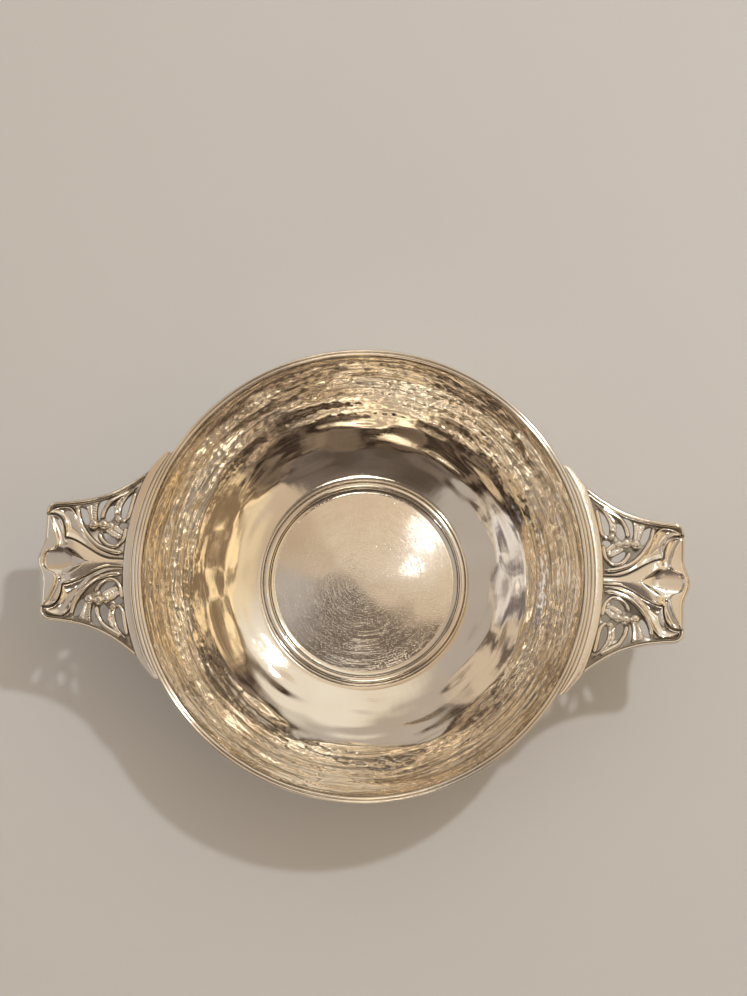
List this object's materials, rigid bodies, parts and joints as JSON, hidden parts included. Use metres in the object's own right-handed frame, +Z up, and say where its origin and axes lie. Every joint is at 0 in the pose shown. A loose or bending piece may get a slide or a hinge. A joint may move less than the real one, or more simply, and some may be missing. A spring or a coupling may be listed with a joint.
{
  "type": "quaich",
  "caption": "Shallow hammered silver drinking bowl with a reeded rim, a spreading foot and level pierced lugs of leaves and berries.",
  "frame": {"origin": "centre of the plane that the foot stands on", "axes": "+Z up along the bowl's axis, lugs along +X and -X, +Y to the back"},
  "size_m": [0.187, 0.13, 0.0378],
  "materials": {
    "silver_sheet": "planished silver sheet, polished, fine scratches",
    "silver_wire": "polished silver wire",
    "silver_disc": "silver worn to a fine swirled grain",
    "silver_cast": "polished chased silver, brown tarnish in the recesses",
    "silver_ground": "tarnished silver ground of the ornament"
  },
  "bodies": {
    "root": {"bowl": "silver_sheet", "rim_wire": "silver_wire", "centre_ring": "silver_wire", "centre_disc": "silver_disc", "foot_collet": "silver_sheet", "foot_wire": "silver_wire", "right_lug_plate": "silver_ground", "right_lug_strap": "silver_cast", "right_lug_border_front": "silver_cast", "right_lug_border_back": "silver_cast", "right_lug_leaf": "silver_cast", "right_lug_petal_front": "silver_cast", "right_lug_petal_back": "silver_cast", "right_lug_spray_front": "silver_cast", "right_lug_spray_back": "silver_cast", "right_lug_berries_front": "silver_cast", "right_lug_berries_back": "silver_cast", "right_lug_tip": "silver_cast", "left_lug_plate": "silver_ground", "left_lug_strap": "silver_cast", "left_lug_border_front": "silver_cast", "left_lug_border_back": "silver_cast", "left_lug_leaf": "silver_cast", "left_lug_petal_front": "silver_cast", "left_lug_petal_back": "silver_cast", "left_lug_spray_front": "silver_cast", "left_lug_spray_back": "silver_cast", "left_lug_berries_front": "silver_cast", "left_lug_berries_back": "silver_cast", "left_lug_tip": "silver_cast"}
  },
  "joints": []
}
